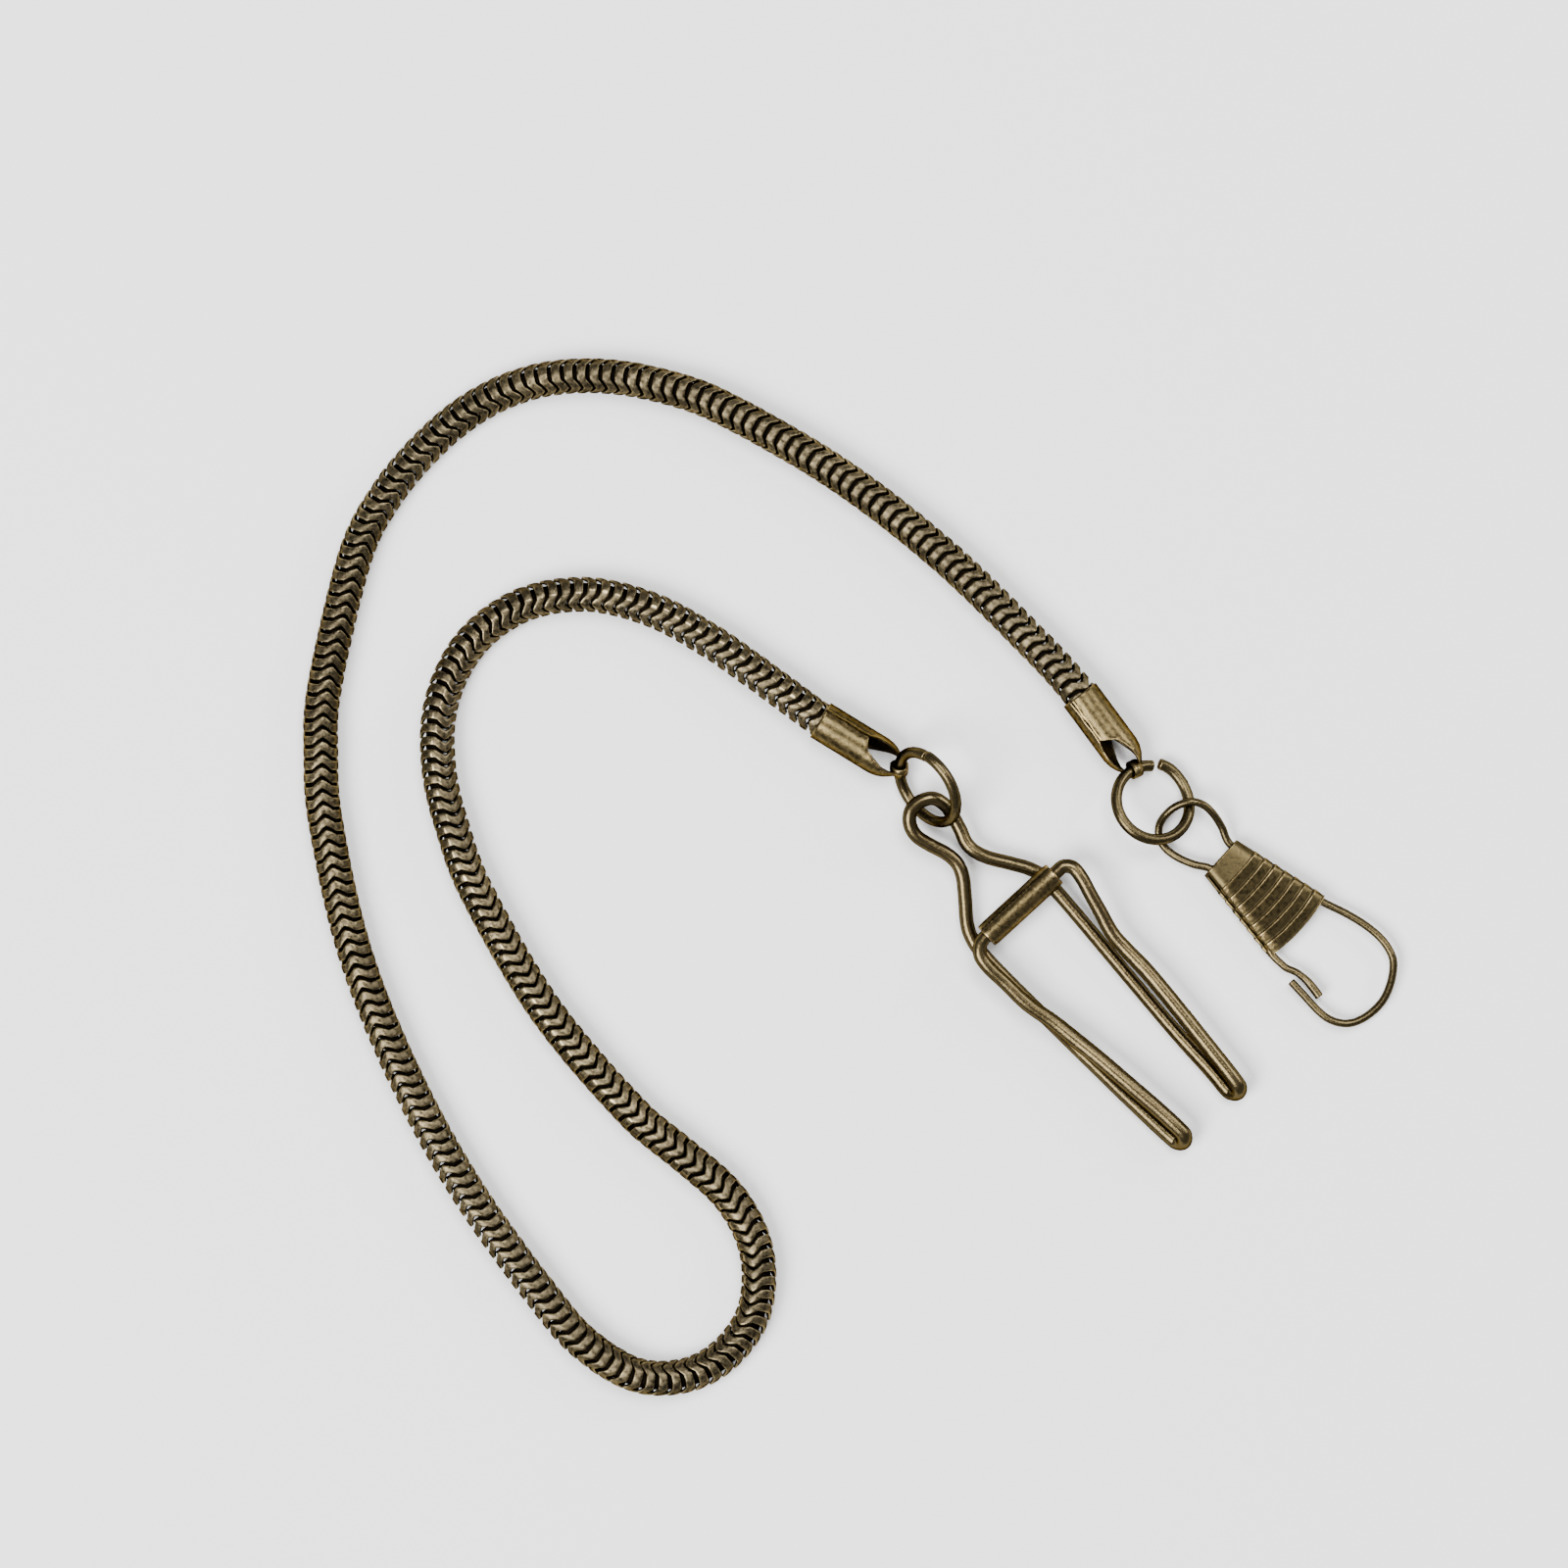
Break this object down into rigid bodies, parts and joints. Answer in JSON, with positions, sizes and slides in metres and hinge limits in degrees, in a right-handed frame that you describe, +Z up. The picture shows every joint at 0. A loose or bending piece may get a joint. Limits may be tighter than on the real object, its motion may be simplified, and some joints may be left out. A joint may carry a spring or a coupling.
{
  "type": "pocket watch chain",
  "caption": "Round snake chain for a pocket watch, with end caps, jump rings, a wire clip for the waistband at one end and a wire snap hook at the other.",
  "frame": {"origin": "middle of the laid-out chain on the surface it lies on", "axes": "+Z up from the surface, +X from the bend of the loop towards the clip and the hook, +Y towards the long outer run of the chain"},
  "size_m": [0.0992, 0.0941, 0.0071],
  "materials": {
    "link_brass": "antique, satin",
    "fitting_brass": "antique, satin",
    "wire_brass": "antique, satin"
  },
  "bodies": {
    "clip": {"clip_back_wire": "wire_brass"},
    "clip_jaw": {"clip_front_wire_left": "wire_brass", "clip_front_wire_right": "wire_brass"},
    "clip_sleeve": {"clip_sleeve": "fitting_brass"},
    "clip_jump_ring": {"clip_jump_ring": "wire_brass"},
    "chain_01": {"clip_end_cap": "fitting_brass", "chain_segment_01": "link_brass"},
    "chain_02": {"chain_segment_02": "link_brass"},
    "chain_03": {"chain_segment_03": "link_brass"},
    "chain_04": {"chain_segment_04": "link_brass"},
    "chain_05": {"chain_segment_05": "link_brass"},
    "chain_06": {"chain_segment_06": "link_brass"},
    "chain_07": {"chain_segment_07": "link_brass"},
    "chain_08": {"chain_segment_08": "link_brass"},
    "chain_09": {"chain_segment_09": "link_brass"},
    "chain_10": {"chain_segment_10": "link_brass"},
    "chain_11": {"chain_segment_11": "link_brass"},
    "chain_12": {"chain_segment_12": "link_brass"},
    "chain_13": {"chain_segment_13": "link_brass"},
    "chain_14": {"chain_segment_14": "link_brass"},
    "chain_15": {"chain_segment_15": "link_brass"},
    "chain_16": {"chain_segment_16": "link_brass"},
    "chain_17": {"chain_segment_17": "link_brass"},
    "chain_18": {"chain_segment_18": "link_brass"},
    "chain_19": {"chain_segment_19": "link_brass"},
    "chain_20": {"chain_segment_20": "link_brass"},
    "chain_21": {"chain_segment_21": "link_brass"},
    "chain_22": {"chain_segment_22": "link_brass"},
    "chain_23": {"chain_segment_23": "link_brass"},
    "chain_24": {"chain_segment_24": "link_brass"},
    "chain_25": {"chain_segment_25": "link_brass"},
    "chain_26": {"chain_segment_26": "link_brass"},
    "chain_27": {"chain_segment_27": "link_brass"},
    "chain_28": {"chain_segment_28": "link_brass"},
    "chain_29": {"chain_segment_29": "link_brass"},
    "chain_30": {"chain_segment_30": "link_brass"},
    "chain_31": {"chain_segment_31": "link_brass"},
    "chain_32": {"chain_segment_32": "link_brass"},
    "chain_33": {"chain_segment_33": "link_brass"},
    "chain_34": {"chain_segment_34": "link_brass"},
    "chain_35": {"chain_segment_35": "link_brass"},
    "chain_36": {"chain_segment_36": "link_brass"},
    "chain_37": {"chain_segment_37": "link_brass"},
    "chain_38": {"chain_segment_38": "link_brass"},
    "chain_39": {"chain_segment_39": "link_brass"},
    "chain_40": {"chain_segment_40": "link_brass"},
    "chain_41": {"chain_segment_41": "link_brass"},
    "chain_42": {"chain_segment_42": "link_brass", "hook_end_cap": "fitting_brass"},
    "hook_jump_ring": {"hook_jump_ring": "wire_brass"},
    "snap_hook": {"hook_barrel": "fitting_brass", "hook_wire": "wire_brass"},
    "hook_gate": {"hook_gate": "wire_brass"}
  },
  "joints": [
    {"name": "clip_jaw_opening", "type": "hinge", "parent": "clip", "child": "clip_jaw", "pos_m": [0.03312, -0.02209, 0.00149], "axis": [0.7399, 0.6727, 0], "range_deg": [0, 10], "stiffness_Nm_per_rad": 0.1, "springref_deg": -5.73},
    {"name": "clip_sleeve_turn", "type": "hinge", "parent": "clip_jaw", "child": "clip_sleeve", "pos_m": [0.0154, -0.00235, 0.0032], "axis": [0.7362, 0.6768, 0], "continuous": true},
    {"name": "clip_ring_swing", "type": "hinge", "parent": "clip", "child": "clip_jump_ring", "pos_m": [0.0072, 0.00726, 0.00283], "axis": [0.995, 0.0995, 0], "range_deg": [-6, 3]},
    {"name": "clip_cap_swing", "type": "hinge", "parent": "clip_jump_ring", "child": "chain_01", "pos_m": [0.00446, 0.01001, 0.0018], "axis": [-0.0246, -0.7501, -0.6609], "range_deg": [-12, 12]},
    {"name": "chain_bend_01", "type": "hinge", "parent": "chain_01", "child": "chain_02", "pos_m": [-0.0069, 0.0175, 0.00174], "axis": [0, 0, 1], "range_deg": [-6.5, 8.5]},
    {"name": "chain_bend_02", "type": "hinge", "parent": "chain_02", "child": "chain_03", "pos_m": [-0.01254, 0.02148, 0.0016], "axis": [0.5224, 0.8527, 0], "range_deg": [-7.5, 7.5]},
    {"name": "chain_bend_03", "type": "hinge", "parent": "chain_03", "child": "chain_04", "pos_m": [-0.01865, 0.02466, 0.0016], "axis": [0, 0, -1], "range_deg": [-6.5, 3.5]},
    {"name": "chain_bend_04", "type": "hinge", "parent": "chain_04", "child": "chain_05", "pos_m": [-0.02542, 0.02577, 0.0016], "axis": [0.0935, -0.9956, 0], "range_deg": [-7.5, 7.5]},
    {"name": "chain_bend_05", "type": "hinge", "parent": "chain_05", "child": "chain_06", "pos_m": [-0.03189, 0.02364, 0.0016], "axis": [0, 0, 1], "range_deg": [-2.5, 4.5]},
    {"name": "chain_bend_06", "type": "hinge", "parent": "chain_06", "child": "chain_07", "pos_m": [-0.03624, 0.01841, 0.0016], "axis": [-0.9271, 0.3749, 0], "range_deg": [-7.5, 7.5]},
    {"name": "chain_bend_07", "type": "hinge", "parent": "chain_07", "child": "chain_08", "pos_m": [-0.03743, 0.01167, 0.0016], "axis": [0, 0, -1], "range_deg": [-6.5, 3.5]},
    {"name": "chain_bend_08", "type": "hinge", "parent": "chain_08", "child": "chain_09", "pos_m": [-0.03615, 0.00491, 0.0016], "axis": [0.9544, 0.2986, 0], "range_deg": [-7.5, 7.5]},
    {"name": "chain_bend_09", "type": "hinge", "parent": "chain_09", "child": "chain_10", "pos_m": [-0.03369, -0.00152, 0.0016], "axis": [0, 0, 1], "range_deg": [-6.5, 7.5]},
    {"name": "chain_bend_10", "type": "hinge", "parent": "chain_10", "child": "chain_11", "pos_m": [-0.03036, -0.00757, 0.0016], "axis": [-0.8586, -0.5127, 0], "range_deg": [-7.5, 7.5]},
    {"name": "chain_bend_11", "type": "hinge", "parent": "chain_11", "child": "chain_12", "pos_m": [-0.02654, -0.01333, 0.0016], "axis": [0, 0, -1], "range_deg": [-7.5, 9.5]},
    {"name": "chain_bend_12", "type": "hinge", "parent": "chain_12", "child": "chain_13", "pos_m": [-0.0221, -0.01861, 0.0016], "axis": [0.7401, 0.6724, 0], "range_deg": [-7.5, 7.5]},
    {"name": "chain_bend_13", "type": "hinge", "parent": "chain_13", "child": "chain_14", "pos_m": [-0.01718, -0.02343, 0.0016], "axis": [0, 0, 1], "range_deg": [-8.5, 7.5]},
    {"name": "chain_bend_14", "type": "hinge", "parent": "chain_14", "child": "chain_15", "pos_m": [-0.01185, -0.02782, 0.0016], "axis": [-0.727, -0.6866, 0], "range_deg": [-7.5, 7.5]},
    {"name": "chain_bend_15", "type": "hinge", "parent": "chain_15", "child": "chain_16", "pos_m": [-0.00849, -0.03376, 0.0016], "axis": [0, 0, -1], "range_deg": [-10.5, 1.5]},
    {"name": "chain_bend_16", "type": "hinge", "parent": "chain_16", "child": "chain_17", "pos_m": [-0.00925, -0.04049, 0.0016], "axis": [0.8457, -0.5337, 0], "range_deg": [-4.5, 4.5]},
    {"name": "chain_bend_17", "type": "hinge", "parent": "chain_17", "child": "chain_18", "pos_m": [-0.01437, -0.04487, 0.0016], "axis": [0, 0, 1], "range_deg": [-1.5, 10.5]},
    {"name": "chain_bend_18", "type": "hinge", "parent": "chain_18", "child": "chain_19", "pos_m": [-0.02105, -0.04428, 0.0016], "axis": [0.5114, 0.8593, 0], "range_deg": [-7.5, 7.5]},
    {"name": "chain_bend_19", "type": "hinge", "parent": "chain_19", "child": "chain_20", "pos_m": [-0.0263, -0.03986, 0.0016], "axis": [0, 0, -1], "range_deg": [-10.5, 5.5]},
    {"name": "chain_bend_20", "type": "hinge", "parent": "chain_20", "child": "chain_21", "pos_m": [-0.03049, -0.03437, 0.0016], "axis": [-0.806, -0.5919, 0], "range_deg": [-7.5, 7.5]},
    {"name": "chain_bend_21", "type": "hinge", "parent": "chain_21", "child": "chain_22", "pos_m": [-0.03445, -0.02871, 0.0016], "axis": [0, 0, 1], "range_deg": [-6.5, 9.5]},
    {"name": "chain_bend_22", "type": "hinge", "parent": "chain_22", "child": "chain_23", "pos_m": [-0.03795, -0.02277, 0.0016], "axis": [0.8822, 0.4709, 0], "range_deg": [-7.5, 7.5]},
    {"name": "chain_bend_23", "type": "hinge", "parent": "chain_23", "child": "chain_24", "pos_m": [-0.04102, -0.01658, 0.0016], "axis": [0, 0, -1], "range_deg": [-9.5, 7.5]},
    {"name": "chain_bend_24", "type": "hinge", "parent": "chain_24", "child": "chain_25", "pos_m": [-0.04369, -0.01022, 0.0016], "axis": [-0.9389, -0.3443, 0], "range_deg": [-7.5, 7.5]},
    {"name": "chain_bend_25", "type": "hinge", "parent": "chain_25", "child": "chain_26", "pos_m": [-0.04576, -0.00363, 0.0016], "axis": [0, 0, 1], "range_deg": [-4.5, 9.5]},
    {"name": "chain_bend_26", "type": "hinge", "parent": "chain_26", "child": "chain_27", "pos_m": [-0.04721, 0.00312, 0.0016], "axis": [0.9839, 0.1785, 0], "range_deg": [-7.5, 7.5]},
    {"name": "chain_bend_27", "type": "hinge", "parent": "chain_27", "child": "chain_28", "pos_m": [-0.048, 0.00997, 0.0016], "axis": [0, 0, -1], "range_deg": [-9.5, 3.5]},
    {"name": "chain_bend_28", "type": "hinge", "parent": "chain_28", "child": "chain_29", "pos_m": [-0.04775, 0.01686, 0.0016], "axis": [-0.9855, 0.1695, 0], "range_deg": [-7.5, 7.5]},
    {"name": "chain_bend_29", "type": "hinge", "parent": "chain_29", "child": "chain_30", "pos_m": [-0.04637, 0.02362, 0.0016], "axis": [0, 0, 1], "range_deg": [-2.5, 9.5]},
    {"name": "chain_bend_30", "type": "hinge", "parent": "chain_30", "child": "chain_31", "pos_m": [-0.04453, 0.03027, 0.0016], "axis": [0.9277, -0.3733, 0], "range_deg": [-7.5, 7.5]},
    {"name": "chain_bend_31", "type": "hinge", "parent": "chain_31", "child": "chain_32", "pos_m": [-0.04105, 0.03621, 0.0016], "axis": [0, 0, -1], "range_deg": [-10.5, 1.5]},
    {"name": "chain_bend_32", "type": "hinge", "parent": "chain_32", "child": "chain_33", "pos_m": [-0.03626, 0.04116, 0.0016], "axis": [-0.6209, 0.7839, 0], "range_deg": [-7.5, 7.5]},
    {"name": "chain_bend_33", "type": "hinge", "parent": "chain_33", "child": "chain_34", "pos_m": [-0.0303, 0.04458, 0.0016], "axis": [0, 0, 1], "range_deg": [-1.5, 10.5]},
    {"name": "chain_bend_34", "type": "hinge", "parent": "chain_34", "child": "chain_35", "pos_m": [-0.02351, 0.04562, 0.0016], "axis": [-0.0292, -0.9996, 0], "range_deg": [-7.5, 7.5]},
    {"name": "chain_bend_35", "type": "hinge", "parent": "chain_35", "child": "chain_36", "pos_m": [-0.0167, 0.0446, 0.0016], "axis": [0, 0, -1], "range_deg": [-9.5, 2.5]},
    {"name": "chain_bend_36", "type": "hinge", "parent": "chain_36", "child": "chain_37", "pos_m": [-0.0103, 0.04208, 0.0016], "axis": [0.4683, 0.8836, 0], "range_deg": [-7.5, 7.5]},
    {"name": "chain_bend_37", "type": "hinge", "parent": "chain_37", "child": "chain_38", "pos_m": [-0.00428, 0.0387, 0.0016], "axis": [0, 0, 1], "range_deg": [-3.5, 9.5]},
    {"name": "chain_bend_38", "type": "hinge", "parent": "chain_38", "child": "chain_39", "pos_m": [0.00148, 0.03489, 0.0016], "axis": [-0.5931, -0.8051, 0], "range_deg": [-7.5, 7.5]},
    {"name": "chain_bend_39", "type": "hinge", "parent": "chain_39", "child": "chain_40", "pos_m": [0.00691, 0.03063, 0.0016], "axis": [0, 0, -1], "range_deg": [-9.5, 5.5]},
    {"name": "chain_bend_40", "type": "hinge", "parent": "chain_40", "child": "chain_41", "pos_m": [0.01203, 0.026, 0.0016], "axis": [0.6997, 0.7144, 0], "range_deg": [-7.5, 7.5]},
    {"name": "chain_bend_41", "type": "hinge", "parent": "chain_41", "child": "chain_42", "pos_m": [0.0169, 0.0211, 0.00173], "axis": [0, 0, 1], "range_deg": [-8.5, 9.5]},
    {"name": "hook_ring_swing", "type": "hinge", "parent": "chain_42", "child": "hook_jump_ring", "pos_m": [0.0258, 0.00995, 0.00182], "axis": [-0.8327, -0.37, 0.4119], "range_deg": [-12, 12]},
    {"name": "snap_hook_swing", "type": "hinge", "parent": "hook_jump_ring", "child": "snap_hook", "pos_m": [0.02992, 0.00468, 0.0013], "axis": [0.661, 0.7504, 0], "range_deg": [-9, 12]},
    {"name": "hook_gate_opening", "type": "hinge", "parent": "snap_hook", "child": "hook_gate", "pos_m": [0.0379, -0.006, 0.00112], "axis": [0, 0, 1], "range_deg": [0, 14], "stiffness_Nm_per_rad": 0.002, "springref_deg": -8.59}
  ]
}
